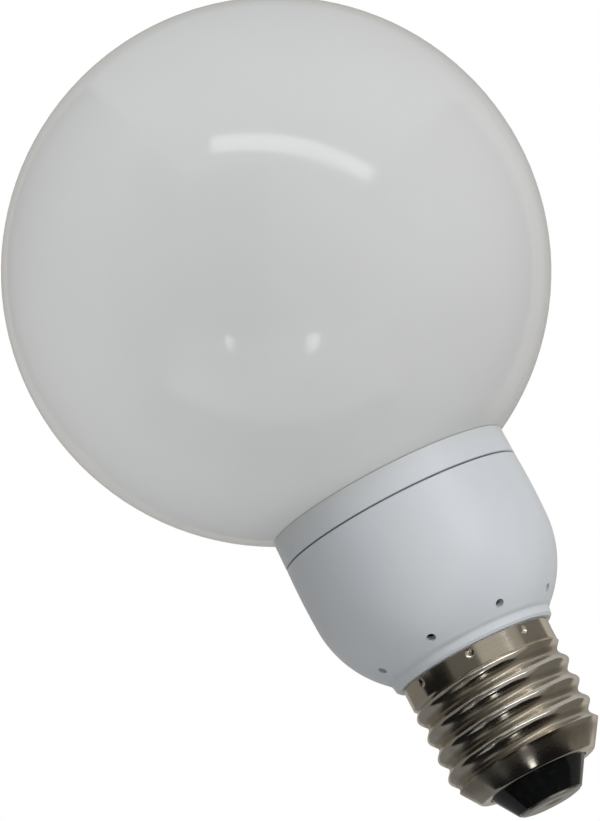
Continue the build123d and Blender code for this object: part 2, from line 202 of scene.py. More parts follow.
base_nodes = [node for name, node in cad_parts.items() if name != "globe"]
globe_only = receivers("globe_only", [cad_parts["globe"]])
base_only = receivers("base_only", base_nodes)
floor_only = receivers("floor_only", [floor])

STRIP_START = Vector((-0.409, 0.768, 0.492))
STRIP_END = Vector((0.607, 0.586, 0.536))
STRIP_DISTANCE = 1.2
strip_middle = (STRIP_START + STRIP_END).normalized() * STRIP_DISTANCE
strip_run = STRIP_END - STRIP_START
strip_along = right * strip_run.x + up * strip_run.y - ahead * strip_run.z
soft_lamp("strip", studio_place(*strip_middle), strip_along, 1.42, 0.17, 2.4, True)
for name, place, along, wide, high, watts, in_gloss, lit in (
    ("key", (0.85, 0.75, 1.15), right, 1.0, 0.8, 11.8, False, base_only),
    ("back", (0.5, 0.4, -1.5), right, 1.2, 1.2, 8.0, False, base_only),
    ("glow_front", (0.1, -1.25, 1.1), right, 6.0, 2.6, 16.0, True, globe_only),
    ("glow_top", (0.2, 1.3, 0.3), right, 1.4, 1.4, 5.8, False, globe_only),
    ("glow_middle", (0.4, 0.1, 1.5), right, 1.4, 1.4, 8.2, False, globe_only),
    ("glow_low", (-0.45, -1.2, 0.3), right, 1.4, 1.4, 16.5, False, globe_only),
    ("glow_under", (-0.08, -0.42, 0.13), right, 0.5, 0.3, 0.5, False, globe_only),
    ("glow_beside", (0.46, -0.1, 0.1), up, 0.5, 0.3, 0.38, False, globe_only),
    ("glow_left", (-1.3, 0.2, 0.1), up, 1.4, 1.4, 8.8, False, globe_only),
    ("glow_right", (1.3, 0.0, 0.4), up, 1.4, 1.4, 12.5, False, globe_only),
    ("glow_back", (0.1, 0.2, -1.5), right, 1.4, 1.4, 8.0, False, globe_only),
):
    lamp = soft_lamp(name, studio_place(*place), along, wide, high, watts, in_gloss)
    lamp.light_linking.receiver_collection = lit

CEILING_HEIGHT = 2.6
ceiling_place = globe_centre + Vector((0, 0, CEILING_HEIGHT))
ceiling = soft_lamp("ceiling", ceiling_place, right, 1.2, 1.2, 28.0, False)
ceiling.light_linking.receiver_collection = floor_only


def reflector(name, corners, brightness, tint):
    """A card that only gloss sees: what the shiny parts have in front of them."""
    card_mesh = bpy.data.meshes.new(name)
    shape = bmesh.new()
    shape.faces.new([shape.verts.new(corner) for corner in corners])
    shape.to_mesh(card_mesh)
    shape.free()
    card = bpy.data.objects.new(name, card_mesh)
    bpy.context.scene.collection.objects.link(card)
    cloth = bpy.data.materials.new(name)
    cloth.use_nodes = True
    shader = cloth.node_tree.nodes["Principled BSDF"]
    shader.inputs["Base Color"].default_value = (0, 0, 0, 1)
    shader.inputs["Specular IOR Level"].default_value = 0
    shader.inputs["Emission Color"].default_value = (*tint, 1)
    shader.inputs["Emission Strength"].default_value = brightness
    card_mesh.materials.append(cloth)
    card.visible_camera = False
    card.visible_diffuse = False
    card.visible_shadow = False
    card.visible_transmission = False
    card.visible_volume_scatter = False


ROOM_HALF = 1.6
ROOM_BACK, ROOM_FRONT = -3.2, 1.6
UNDER_BACK = -4.0
LEFT_SPLIT = 0.45
RIGHT_BACK_SPLIT, RIGHT_FRONT_SPLIT = -1.6, 0.5
UNDER_SPLIT, FOOT_SPLIT = -0.1, 0.75
FRONT_SPLIT = -0.1
WARM = (1, 0.95, 0.86)
WHITE = (1, 1, 1)
ACROSS, ABOVE, TOWARD = Vector((1, 0, 0)), Vector((0, 1, 0)), Vector((0, 0, 1))


def card_corners(middle, half_along, half_across):
    signs = ((-1, -1), (1, -1), (1, 1), (-1, 1))
    return [middle + half_along * i + half_across * j for i, j in signs]


def side_wall(x, back, front):
    middle = ACROSS * x + TOWARD * ((back + front) / 2)
    return card_corners(middle, ABOVE * ROOM_HALF, TOWARD * ((front - back) / 2))


def level_wall(y, back, front):
    middle = ABOVE * y + TOWARD * ((back + front) / 2)
    return card_corners(middle, ACROSS * ROOM_HALF, TOWARD * ((front - back) / 2))


def facing_wall(left_x, right_x, toward):
    middle = ACROSS * ((left_x + right_x) / 2) + TOWARD * toward
    return card_corners(middle, ACROSS * ((right_x - left_x) / 2), ABOVE * ROOM_HALF)


def glint(x, y, toward, half_wide, half_high):
    """A small bright card that shows as a spot on the globe."""
    return card_corners(Vector((x, y, toward)), ACROSS * half_wide, ABOVE * half_high)


for name, places, brightness, tint in (
    ("wall_left", side_wall(-ROOM_HALF, ROOM_BACK, LEFT_SPLIT), 0.2, WARM),
    ("wall_left_front", side_wall(-ROOM_HALF, LEFT_SPLIT, ROOM_FRONT), 0.03, WARM),
    ("wall_right_back", side_wall(ROOM_HALF, ROOM_BACK, RIGHT_BACK_SPLIT), 0.5, WARM),
    ("wall_back", facing_wall(-ROOM_HALF, ROOM_HALF, ROOM_BACK), 0.4, WARM),
    ("wall_right", side_wall(ROOM_HALF, RIGHT_BACK_SPLIT, RIGHT_FRONT_SPLIT), 0.17, WARM),
    ("wall_right_front", side_wall(ROOM_HALF, RIGHT_FRONT_SPLIT, ROOM_FRONT), 0.34, WARM),
    ("wall_top", level_wall(ROOM_HALF, ROOM_BACK, ROOM_FRONT), 0.5, WHITE),
    ("wall_bottom_back", level_wall(-ROOM_HALF, UNDER_BACK, UNDER_SPLIT), 0.2, WHITE),
    ("wall_bottom", level_wall(-ROOM_HALF, UNDER_SPLIT, FOOT_SPLIT), 0.01, WHITE),
    ("wall_foot", level_wall(-ROOM_HALF, FOOT_SPLIT, ROOM_FRONT), 0.35, WHITE),
    ("wall_front_left", facing_wall(-ROOM_HALF, FRONT_SPLIT, ROOM_FRONT), 0.12, WARM),
    ("wall_front_right", facing_wall(FRONT_SPLIT, ROOM_HALF, ROOM_FRONT), 0.42, WARM),
    ("glint_left", glint(-0.375, -0.59, 0.98, 0.035, 0.07), 5.0, WHITE),
    ("glint_right", glint(0.3, -0.59, 1.0, 0.055, 0.09), 5.0, WHITE),
):
    reflector(name, [studio_place(*place) for place in places], brightness, tint)

cap_front = -level_ahead
card_under = Vector((0, 0, -0.012)) + cap_front * 0.022 + level * 0.004
card_left = Vector((0, 0, 0.014)) + cap_front * 0.017 - level * 0.026
rim_glint = Vector((0, 0, -0.0115)) + cap_front * 0.0212 + level * 0.0004
for name, middle, half_along, half_across, brightness in (
    ("black_card_under", card_under, cap_front * 0.022, level * 0.022, 0.01),
    ("black_card_left", card_left, cap_front * 0.011, Vector((0, 0, 0.015)), 0.01),
    ("glint_rim", rim_glint, cap_front * 0.0018, level * 0.0017, 1.7),
):
    reflector(name, card_corners(middle, half_along, half_across), brightness, WHITE)


# Discharge tube: three bent glass tubes bridged into one, sealed, and coated inside with a fine
# white phosphor. The glass is clear, so the powder shows under a gloss, greyer near the feet.
class Finish(Nodes):
    """A node material made for one kind of piece, on the pieces' own places in metres."""

    def __init__(self, name, **constants):
        self.material = bpy.data.materials.new(name)
        self.material.use_nodes = True
        super().__init__(self.material.node_tree)
        self.shader = self.tree.nodes["Principled BSDF"]
        self.place = self.node("TexCoord", {}, {}, "Object")
        self.x, self.y, self.z = (self.node("SeparateXYZ", {}, {0: self.place}, axis) for axis in "XYZ")
        self.paint(**constants)

    def paint(self, **looks):
        """Set or link sockets of the shader: base_color, roughness, metallic, coat_weight."""
        for look, value in looks.items():
            self.feed(self.shader.inputs[look.replace("_", " ").title().replace("Ior", "IOR")], value)

    def cloud(self, scale, stretch=(1, 1, 1), detail=2.0, place=None):
        """Soft noise between 0 and 1, scale patches to the metre, longer where stretch is small."""
        drawn = self.node("Mapping", {}, {"Vector": place or self.place, "Scale": stretch})
        return self.node("TexNoise", {}, {"Vector": drawn, "Scale": scale, "Detail": detail})

    def cells(self, scale, feature="F1", place=None):
        sockets = {"Vector": place or self.place, "Scale": scale}
        return self.node("TexVoronoi", {"feature": feature}, sockets)

    def step(self, value, low, high):
        """0 under low and 1 over high, or the other way round where low is the higher."""
        settings = {"interpolation_type": "SMOOTHSTEP"}
        return self.node("MapRange", settings, {"Value": value, "From Min": low, "From Max": high})

    def band(self, value, middle, half, soft):
        """1 within half of the middle, falling to 0 over soft."""
        off = self.maths("ABSOLUTE", value - middle)
        return 1 - self.step(off, half, half + soft)

    def mix(self, amount, plain, other):
        return self.node("Mix", {"data_type": "RGBA"}, {0: amount, 6: plain, 7: other}, 2)

    def radius(self, x=0.0, y=0.0):
        """Distance from a line that stands at x, y."""
        off_x = self.x - x
        off_y = self.y - y
        return self.maths("SQRT", off_x * off_x + off_y * off_y)

    def relief(self, height, depth):
        """Bump whose height runs from 0 to 1 over that depth in metres."""
        self.paint(normal=self.node("Bump", {}, {"Strength": 1.0, "Distance": depth, "Height": height}))

    def cover(self, *names):
        for name in names:
            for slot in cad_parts[name].material_slots:
                slot.material = self.material


BURNT_FROM, BURNT_TO = 0.004, 0.013
tube_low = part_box("discharge_tube")[0].z
phosphor = Finish("phosphor_tube", specular_ior_level=0.5, coat_roughness=0.04)
powder = phosphor.mix(phosphor.cloud(260.0, detail=4.0), (0.74, 0.745, 0.72), (0.79, 0.79, 0.765))
uneven_z = phosphor.z + phosphor.cloud(300.0) * 0.004
burnt = 1 - phosphor.step(uneven_z, tube_low + BURNT_FROM, tube_low + BURNT_TO)
phosphor.paint(
    base_color=phosphor.mix(burnt * 0.7, powder, (0.3, 0.28, 0.26)),
    roughness=0.5 + phosphor.cloud(900.0) * 0.15,
    coat_weight=1.0 - burnt * 0.1,
)
phosphor.relief(phosphor.cloud(2200.0), 0.00002)
phosphor.cover("discharge_tube")


# Cement: off-white lamp cement, spooned in wet round the tube's feet and the globe's neck and
# set hard. It is matte and sandy, with a few burst bubbles and paler and browner patches.
cement = Finish("cement", specular_ior_level=0.25)
sand = cement.cloud(2600.0, detail=4.0)
# The burst bubbles' pits are painted dark brown as well as sunk: painted shade in them.
holes = 1 - cement.step(cement.cells(900.0), 0.1, 0.28)
patch = cement.mix(cement.step(cement.cloud(140.0), 0.35, 0.7), (0.6, 0.57, 0.5), (0.7, 0.68, 0.63))
grains = cement.mix(cement.step(sand, 0.55, 0.7), patch, (0.5, 0.46, 0.38))
cement.paint(base_color=cement.mix(holes, grains, (0.3, 0.27, 0.22)), roughness=0.82 + sand * 0.15)
cement.relief(sand - holes * 1.5, 0.00025)
cement.cover("tube_cement", "neck_cement")


# Collar and housing: cool white flame-retardant plastic, moulded in two halves that snap together
# at the seam. The mould leaves a fine even grain, the plastic has faint cloudy flow, dust sits in
# the seam and along the lip, and the wall turns a little creamy near the hot neck of the globe.
SEAM_HALF, SEAM_RADIUS = 0.00012, 0.019
LIP_DUST_Z = 0.0285
WARM_BAND = 0.003
seam_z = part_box("housing")[1].z + SEAM_HALF
collar_top_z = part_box("collar")[1].z
moulded = Finish("white_plastic", specular_ior_level=0.5, coat_weight=0.15, coat_roughness=0.12)
flow = moulded.cloud(55.0, stretch=(1, 1, 0.45), detail=3.0)
grain = moulded.cloud(5200.0, detail=1.0)
plastic = moulded.mix(moulded.step(flow, 0.3, 0.7), (0.588, 0.617, 0.65), (0.625, 0.652, 0.68))
warmed = moulded.step(moulded.z, collar_top_z - WARM_BAND, collar_top_z)
plastic = moulded.mix(warmed * 0.35, plastic, (0.6, 0.6, 0.56))
outside = moulded.step(moulded.radius(), SEAM_RADIUS, SEAM_RADIUS + 0.0005)
seam_dust = moulded.band(moulded.z, seam_z, 0.00018, 0.00012) * outside
lip_dust = moulded.band(moulded.z, LIP_DUST_Z, 0.0001, 0.0005) * moulded.step(flow, 0.3, 0.6)
specks = moulded.step(moulded.cells(420.0), 0.05, 0.035) * moulded.step(moulded.cloud(90.0), 0.55, 0.62)
plastic = moulded.mix(seam_dust * 0.3, plastic, (0.33, 0.34, 0.36))
plastic = moulded.mix(lip_dust * 0.35, plastic, (0.3, 0.3, 0.29))
moulded.paint(
    base_color=moulded.mix(specks * 0.35, plastic, (0.35, 0.34, 0.3)),
    roughness=0.3 + grain * 0.08 + moulded.cloud(120.0) * 0.08,
)
moulded.relief(grain + flow * 3.0, 0.000006)
moulded.cover("collar", "housing")


# Ballast board: a round of phenolic paper laminate, punched for the leads. Its upper side has
# broad copper fields under green resist, etched apart by narrow bare lines.
COPPER_DEPTH, COPPER_RADIUS = 0.0001, 0.018
EDGE, SOFT_EDGE = 0.00005, 0.0001
board_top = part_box("circuit_board")[1].z
laminate = Finish("board_laminate", specular_ior_level=0.4)
fibres = laminate.cloud(900.0, stretch=(1, 0.15, 1), detail=3.0)
paper = laminate.mix(fibres, (0.42, 0.27, 0.11), (0.55, 0.38, 0.18))
flat_place = laminate.node("CombineXYZ", {}, {0: laminate.x, 1: laminate.y})
etched = laminate.step(laminate.cells(190.0, "DISTANCE_TO_EDGE", flat_place), 0.04, 0.07)
copper_low = board_top - COPPER_DEPTH
copper_side = laminate.step(laminate.z, copper_low - EDGE, copper_low + EDGE)
inside_rim = laminate.step(laminate.radius(), COPPER_RADIUS + SOFT_EDGE, COPPER_RADIUS - SOFT_EDGE)
copper = etched * copper_side * inside_rim
laminate.paint(
    base_color=laminate.mix(copper, paper, (0.035, 0.16, 0.06)),
    roughness=0.7 - copper * 0.4 + fibres * 0.1,
)
laminate.relief(copper + fibres * 0.2, 0.00006)
laminate.cover("circuit_board")


# Tinned leads: soft copper wire and square brass pins, drawn through a die and then dipped in tin.
# The tin is greyish, with dull draw lines along the wire.
TIN_COLOUR = (0.6, 0.6, 0.59)
DULL_TIN_COLOUR = (0.45, 0.44, 0.42)
tinned = Finish("tinned_wire", metallic=1.0)
dull = tinned.cloud(500.0, stretch=(1, 1, 0.2), detail=3.0)
tinned.paint(
    base_color=tinned.mix(dull, TIN_COLOUR, DULL_TIN_COLOUR),
    roughness=0.28 + dull * 0.25,
)
tinned.relief(dull, 0.00001)
tinned.cover("wrap_pins", "filament_leads", "contact_solder", "shell_solder")


# Solder joints: each lead is soldered to its copper field by a wave of tin that leaves a hollow
# cone round it. The lead's cut end stands in the middle of the cone.
JOINT_PROFILE = (
    (0.0, 0.0), (1.0, 0.0), (0.74, 0.1), (0.54, 0.28), (0.43, 0.5), (0.38, 0.72), (0.0, 0.8),
)
JOINT_RADIUS, SLIM_JOINT_RADIUS = 0.0009, 0.0006
JOINT_SIDES = 18
MILLIMETRE = 0.001
JOINTS = (
    (-2.5, 0.0), (2.5, 0.0), (-14.1, 0.0), (-6.1, 0.0),
    (-6.5, 13.2), (0.5, 13.2), (-6.5, -13.2), (0.5, -13.2),
    (7.0, 8.6), (10.2, 8.6), (7.5, 0.0), (0.0, 10.2),
    (2.0, -12.6), (10.6, -12.6), (16.2, -1.7), (16.2, 6.9),
    (-4.4, -7.9), (3.2, -7.9), (-4.4, -4.6), (3.2, -4.6),
    (-4.4, 4.6), (3.2, 4.6), (-4.4, 7.9), (3.2, 7.9),
)
SLIM_JOINTS = ((12.3, -2.67), (12.3, -1.4), (12.3, -0.13), (10.6, -8.47), (10.6, -7.2), (10.6, -5.93))
PIN_RING, PIN_ANGLES = 14.6, (-66, -54, -6, 6)
pin_joints = tuple(
    (PIN_RING * math.cos(math.radians(turn)), PIN_RING * math.sin(math.radians(turn))) for turn in PIN_ANGLES
)


def made_piece(name, shape, finish):
    """Turn a finished bmesh into a smooth piece that rides on the lamp."""
    bmesh.ops.remove_doubles(shape, verts=shape.verts, dist=1e-7)
    bmesh.ops.recalc_face_normals(shape, faces=shape.faces)
    mesh = bpy.data.meshes.new(name)
    shape.to_mesh(mesh)
    shape.free()
    mesh.shade_smooth()
    mesh.materials.append(finish.material)
    piece = bpy.data.objects.new(name, mesh)
    bpy.context.scene.collection.objects.link(piece)
    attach(piece, "root")


shape = bmesh.new()
for places, wide in ((JOINTS + pin_joints, JOINT_RADIUS), (SLIM_JOINTS, SLIM_JOINT_RADIUS)):
    for x, y in places:
        middle = Vector((x * MILLIMETRE, y * MILLIMETRE, board_top))
        dots = [shape.verts.new(middle + Vector((r * wide, 0, z * MILLIMETRE))) for r, z in JOINT_PROFILE]
        line = [shape.edges.new(pair) for pair in zip(dots, dots[1:])]
        bmesh.ops.spin(
            shape, geom=dots + line, cent=middle, axis=(0, 0, 1),
            angle=math.tau, steps=JOINT_SIDES, use_merge=True,
        )
made_piece("solder_joints", shape, tinned)


# The can, its leads and its end: an aluminium electrolytic in a shrunk dark sleeve, with a pale
# stripe down its negative side. The bare end has a cross scored in it, that bursts first.
CAN_TOP_Z, CAN_BARE_Z = 0.0379, 0.0223
BARE_END_RADIUS, STRIPE_Y, SCORE_HALF = 0.0043, 0.0041, 0.00008
sleeve = Finish("can_sleeve", specular_ior_level=0.5)
stripe = sleeve.step(sleeve.y, STRIPE_Y, STRIPE_Y + SOFT_EDGE)
bare_end = 1 - sleeve.step(sleeve.z, CAN_BARE_Z, CAN_BARE_Z + EDGE)
bare_end = bare_end * sleeve.step(sleeve.radius(), BARE_END_RADIUS, BARE_END_RADIUS - SOFT_EDGE)
lead = sleeve.step(sleeve.z, CAN_TOP_Z, CAN_TOP_Z + SOFT_EDGE)
wrinkle = sleeve.cloud(700.0, stretch=(1, 1, 0.2), detail=3.0)
film = sleeve.mix(wrinkle, (0.012, 0.014, 0.022), (0.02, 0.022, 0.034))
film = sleeve.mix(stripe, film, (0.42, 0.42, 0.4))
metal = sleeve.maths("MAXIMUM", bare_end, lead)
# The scored cross is painted dark grey as well as sunk: painted shade in its groove.
score_x = sleeve.band(sleeve.x, 0.0, SCORE_HALF, 0.00012)
score_y = sleeve.band(sleeve.y, 0.0, SCORE_HALF, 0.00012)
score = sleeve.maths("MAXIMUM", score_x, score_y) * bare_end
aluminium = sleeve.mix(score, (0.62, 0.62, 0.63), (0.2, 0.2, 0.2))
sleeve.paint(
    base_color=sleeve.mix(metal, film, aluminium),
    metallic=metal,
    roughness=0.32 + wrinkle * 0.15,
)
sleeve.relief(wrinkle * 0.3 - score * 2.0, 0.00008)
sleeve.cover("smoothing_capacitor")


# Ferrite: pressed and fired, then ground where the halves meet. Dark grey, dense and brittle,
# with fine pores and a dull sheen.
ferrite = Finish("ferrite", specular_ior_level=0.6)
# The pores are painted nearly black as well as sunk: painted shade in the pits.
pores = ferrite.step(ferrite.cells(2400.0), 0.12, 0.05)
bake = ferrite.cloud(320.0, detail=4.0)
fired = ferrite.mix(bake, (0.05, 0.05, 0.052), (0.085, 0.083, 0.082))
ferrite.paint(
    base_color=ferrite.mix(pores, fired, (0.02, 0.02, 0.02)),
    roughness=0.42 + bake * 0.2,
    metallic=0.3 - pores * 0.3,
)
ferrite.relief(bake * 0.3 - pores, 0.00004)
ferrite.cover("choke_core", "drive_core")


# Windings: enamelled copper wire, laid turn beside turn round the choke's bobbin and, in three
# groups, round the drive ring. Their tinned ends go up to the board.
TURN_PITCH = 0.00042
TURNS_ROUND_RING = 44
RING_X, RING_Y = 0.0086, 0.0086
CHOKE_ENDS_Z, DRIVE_ENDS_Z = 0.04105, 0.0434


class CopperFinish(Finish):
    """Copper wire under clear enamel, a little darker where the enamel is thick."""

    def __init__(self, name):
        super().__init__(name, specular_ior_level=0.5, coat_roughness=0.15)
        self.enamel = self.mix(self.cloud(400.0), (0.5, 0.17, 0.055), (0.62, 0.26, 0.1))
        self.paint(roughness=0.3 + self.cloud(1500.0) * 0.12)

    def wind(self, phase, tinned_over_z):
        """A ridge for each turn, where the phase passes half a circle, painted shade in the grooves between
        turns, and tinned ends above z.
        """
        ridge = self.maths("ABSOLUTE", self.maths("SINE", phase))
        tinned_end = self.step(self.z, tinned_over_z, tinned_over_z + SOFT_EDGE)
        # Painted shade: the grooves between turns are painted nearly black.
        wound_with_painted_shade = self.mix((1 - ridge) * (1 - ridge) * 0.8, self.enamel, (0.08, 0.02, 0.01))
        self.paint(
            base_color=self.mix(tinned_end, wound_with_painted_shade, TIN_COLOUR),
            metallic=0.9 + tinned_end * 0.1,
            coat_weight=0.6 - tinned_end * 0.6,
        )
        self.relief(ridge * (1 - tinned_end), 0.00012)


choke_wire = CopperFinish("choke_wire")
choke_wire.wind(choke_wire.z * (math.pi / TURN_PITCH), CHOKE_ENDS_Z)
choke_wire.cover("choke_winding")
drive_wire = CopperFinish("drive_wire")
ring_turn = drive_wire.maths("ARCTAN2", drive_wire.y - RING_Y, drive_wire.x - RING_X)
drive_wire.wind(ring_turn * (TURNS_ROUND_RING / 2), DRIVE_ENDS_Z)
drive_wire.cover("drive_winding")
enamelled = CopperFinish("loose_turns")
enamelled.paint(base_color=enamelled.enamel, metallic=0.9, coat_weight=0.6)
enamelled.relief(enamelled.cloud(2600.0), 0.00001)


TURN_SIDES, WIRE_SIDES = 24, 8


def wire_turn(wire_radius, half_x, half_y, corner):
    """One turn of wire round a block with rounded corners: a ring, with its quarters moved apart."""
    turn = bmesh.new()
    stand = Matrix.Rotation(math.pi / TURN_SIDES, 4, "Z") @ Matrix.Translation((corner, 0, 0))
    stand = stand @ Matrix.Rotation(math.pi / 2, 4, "X")
    bmesh.ops.create_circle(turn, radius=wire_radius, segments=WIRE_SIDES, matrix=stand)
    bmesh.ops.spin(
        turn, geom=turn.verts[:] + turn.edges[:], cent=(0, 0, 0), axis=(0, 0, 1),
        angle=math.tau, steps=TURN_SIDES, use_merge=True,
    )
    for vert in turn.verts:
        vert.co.x += math.copysign(half_x - corner, vert.co.x)
        vert.co.y += math.copysign(half_y - corner, vert.co.y)
    return turn


def laid_turns(name, wire_radius, half_x, half_y, corner, places):
    """The same turn laid at each place, joined as one winding."""
    turn = wire_turn(wire_radius, half_x, half_y, corner)
    pattern = bpy.data.meshes.new(name + "_turn")
    turn.to_mesh(pattern)
    turn.free()
    shape = bmesh.new()
    for place in places:
        before = len(shape.verts)
        shape.from_mesh(pattern)
        shape.verts.ensure_lookup_table()
        bmesh.ops.transform(shape, matrix=place, verts=shape.verts[before:])
    bpy.data.meshes.remove(pattern)
    made_piece(name, shape, enamelled)


CHOKE_X, CHOKE_LOW_Z, CHOKE_TURNS = -0.0101, 0.03501, 15
choke_places = [Matrix.Translation((CHOKE_X, 0, CHOKE_LOW_Z + TURN_PITCH * i)) for i in range(CHOKE_TURNS)]
laid_turns(
    "choke_turns", wire_radius=0.0002, half_x=0.0042, half_y=0.0044, corner=0.0014, places=choke_places,
)
RING_Z, RING_RADIUS = 0.0412, 0.0034
GROUP_ANGLES, TURN_ANGLES = (0, 120, 240), (-16, -8, 0, 8, 16)
upright = Matrix.Translation((RING_RADIUS, 0, 0)) @ Matrix.Rotation(math.pi / 2, 4, "X")
ring_middle = Matrix.Translation((RING_X, RING_Y, RING_Z))
drive_places = [
    ring_middle @ Matrix.Rotation(math.radians(group + turn), 4, "Z") @ upright
    for group in GROUP_ANGLES for turn in TURN_ANGLES
]
laid_turns(
    "drive_turns", wire_radius=0.00018, half_x=0.0015, half_y=0.00198, corner=0.0005, places=drive_places,
)


# Black mouldings: the choke's nylon bobbin, the two transistors and the four diodes. Each takes
# a fine spark grain from its mould. The diodes have a silver band at the cathode end, and the
# legs of the parts are tinned.
class BlackFinish(Finish):
    """Black moulded plastic with a spark grain."""

    def __init__(self, name, gloss):
        super().__init__(name, specular_ior_level=0.5)
        self.spark = self.cloud(4200.0, detail=3.0)
        self.shell = self.mix(self.cloud(300.0), (0.014, 0.014, 0.015), (0.028, 0.028, 0.03))
        self.paint(roughness=gloss + self.spark * 0.25)

    def with_legs(self, body, shell):
        """The shell's colour where the body mask is 1, and tinned legs elsewhere."""
        self.paint(base_color=self.mix(body, TIN_COLOUR, shell), metallic=1 - body)
        self.relief(self.spark * body, 0.00003)


nylon = BlackFinish("bobbin_nylon", 0.42)
nylon.paint(base_color=nylon.shell)
nylon.relief(nylon.spark, 0.00003)
nylon.cover("choke_bobbin")
LEGS_Z, BENT_LEGS_Z = 0.0417, 0.0434
transistor = BlackFinish("transistor_body", 0.5)
transistor.with_legs(transistor.step(transistor.z, LEGS_Z + EDGE, LEGS_Z), transistor.shell)
transistor.cover("transistor_1", "transistor_2")
DIODE_X, DIODE_HALF = -0.0006, 0.0026
CATHODE_X, CATHODE_HALF = 0.0011, 0.00045
diode = BlackFinish("diode_body", 0.35)
diode_body = diode.band(diode.x, DIODE_X, DIODE_HALF, EDGE)
diode_body = diode_body * diode.step(diode.z, BENT_LEGS_Z, BENT_LEGS_Z - EDGE)
silver = diode.band(diode.x, CATHODE_X, CATHODE_HALF, 0.00004)
diode.with_legs(diode_body, diode.mix(silver, diode.shell, (0.5, 0.5, 0.5)))
diode.cover("diode_1", "diode_2", "diode_3", "diode_4")


# Dipped and coated parts: two film capacitors in brown epoxy with soft runs, two resistors in
# beige lacquer with the usual colour rings, and the fuse resistor in its grey sleeve.
class CoatedFinish(Finish):
    """A dipped or lacquered coat with soft runs."""

    def __init__(self, name, gloss):
        super().__init__(name, specular_ior_level=0.5)
        self.runs = self.cloud(350.0, detail=3.0)
        self.paint(roughness=gloss + self.runs * 0.2)

    def with_leads(self, body, coat):
        """The coat's colour where the body mask is 1, and tinned leads elsewhere."""
        self.paint(base_color=self.mix(body, TIN_COLOUR, coat), metallic=1 - body)
        self.relief(self.runs * body, 0.00012)


DIPPED_LEGS_Z = 0.043
epoxy = CoatedFinish("epoxy_dip", 0.25)
epoxy_coat = epoxy.mix(epoxy.step(epoxy.runs, 0.3, 0.7), (0.3, 0.095, 0.03), (0.4, 0.15, 0.05))
epoxy.with_leads(epoxy.step(epoxy.z, DIPPED_LEGS_Z + EDGE, DIPPED_LEGS_Z), epoxy_coat)
epoxy.cover("start_capacitor", "coupling_capacitor")
RESISTOR_HALF, COLOUR_RING_HALF = 0.0031, 0.00022
COLOUR_RINGS = (
    (-0.0021, (0.45, 0.02, 0.01)),
    (-0.0011, (0.2, 0.02, 0.25)),
    (-0.0001, (0.09, 0.035, 0.01)),
    (0.0020, (0.5, 0.34, 0.06)),
)
for name, axis, middle in (("resistor_1", "x", 0.0063), ("resistor_2", "y", 0.0026)):
    lacquer = CoatedFinish(name, 0.3)
    along = lacquer.x if axis == "x" else lacquer.y
    coat = lacquer.mix(lacquer.runs, (0.5, 0.37, 0.2), (0.58, 0.45, 0.27))
    for place, ring_colour in COLOUR_RINGS:
        coat = lacquer.mix(lacquer.band(along, middle + place, COLOUR_RING_HALF, EDGE), coat, ring_colour)
    barrel = lacquer.band(along, middle, RESISTOR_HALF, EDGE)
    under_bend = lacquer.step(lacquer.z, BENT_LEGS_Z, BENT_LEGS_Z - EDGE)
    lacquer.with_leads(barrel * under_bend, coat)
    lacquer.cover(name)
FUSE_LEAD_Z = 0.01045
fuse = CoatedFinish("fuse_sleeve", 0.45)
fuse_coat = fuse.mix(fuse.runs, (0.3, 0.31, 0.32), (0.36, 0.37, 0.38))
fuse.with_leads(fuse.step(fuse.z, FUSE_LEAD_Z, FUSE_LEAD_Z + EDGE), fuse_coat)
fuse.cover("fuse_resistor")


# Lead wires: stranded copper in thin extruded insulation, bare and tinned where they go through
# the board and into the solder.
BARE_OVER_Z = 0.0429


def lead_finish(name, bare_under_z, colour, other):
    """Insulation of two close colours, and bare tin over the board and under the given height."""
    lead_wire = Finish(name, specular_ior_level=0.4)
    bare = lead_wire.maths(
        "MAXIMUM",
        lead_wire.step(lead_wire.z, BARE_OVER_Z, BARE_OVER_Z + SOFT_EDGE),
        lead_wire.step(lead_wire.z, bare_under_z, bare_under_z - SOFT_EDGE),
    )
    lay = lead_wire.cloud(600.0, stretch=(1, 1, 0.25), detail=3.0)
    lead_wire.paint(
        base_color=lead_wire.mix(bare, lead_wire.mix(lay, colour, other), TIN_COLOUR),
        metallic=bare,
        roughness=0.42 + lay * 0.15,
    )
    lead_wire.relief(lay, 0.00003)
    lead_wire.cover(name)


lead_finish("live_lead", 0.0188, (0.5, 0.5, 0.49), (0.56, 0.56, 0.55))
lead_finish("neutral_lead", 0.0201, (0.55, 0.55, 0.54), (0.62, 0.62, 0.6))


# Screw cap: brass sheet, drawn to a cup, rolled with the thread and nickel-plated. Rolling leaves
# fine rings along the thread, and use leaves warm tarnish, dull valleys and rubbed crests. The valleys
# are also painted dark brown: partly grime, partly painted shade in the grooves.
CREST_RADIUS, ROOT_RADIUS = 0.01305, 0.0120
THREAD_LOW_Z, THREAD_HIGH_Z = 0.0052, 0.0228
FADE_IN, FADE_OUT = 0.0023, 0.0006
nickel = Finish("nickel_plate", metallic=1.0)
around_radius = nickel.radius()
valley = 1 - nickel.step(around_radius, ROOT_RADIUS + 0.0001, ROOT_RADIUS + 0.00065)
threaded = nickel.step(nickel.z, THREAD_LOW_Z, THREAD_LOW_Z + FADE_IN)
threaded = threaded * nickel.step(nickel.z, THREAD_HIGH_Z, THREAD_HIGH_Z - FADE_OUT)
draw_lines = nickel.cloud(55.0, stretch=(1, 1, 90), detail=4.0)
tarnish = nickel.step(nickel.cloud(190.0, detail=4.0), 0.5, 0.72)
crest = nickel.step(around_radius, CREST_RADIUS - 0.00018, CREST_RADIUS - 0.00004) * threaded
